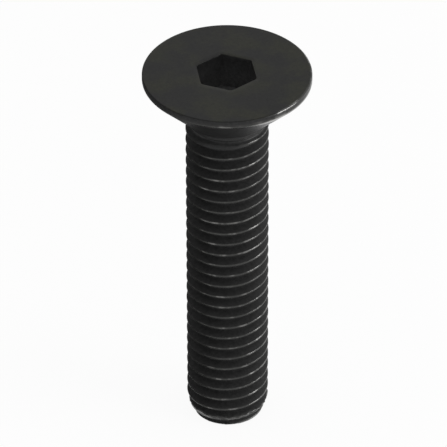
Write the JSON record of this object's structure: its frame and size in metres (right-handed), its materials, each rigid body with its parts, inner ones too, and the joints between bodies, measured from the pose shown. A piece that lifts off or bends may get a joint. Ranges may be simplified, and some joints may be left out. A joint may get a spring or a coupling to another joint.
{
  "type": "countersunk socket screw",
  "caption": "Fully threaded metric screw with a flat countersunk head and a hexagon socket, in black oxide steel, standing on its tip.",
  "frame": {"origin": "middle of the flat tip, where the screw stands", "axes": "+Z along the screw's axis, from the tip towards the head; +X and +Y square to it, with a corner of the hexagon socket 39 degrees from +X towards +Y"},
  "size_m": [0.016, 0.016, 0.0395],
  "materials": {
    "black_oxide_steel": "satin black oxide with a thin film of oil, a little browner in places, brighter along the thread's crests"
  },
  "bodies": {
    "root": {"screw": "black_oxide_steel"}
  },
  "joints": []
}
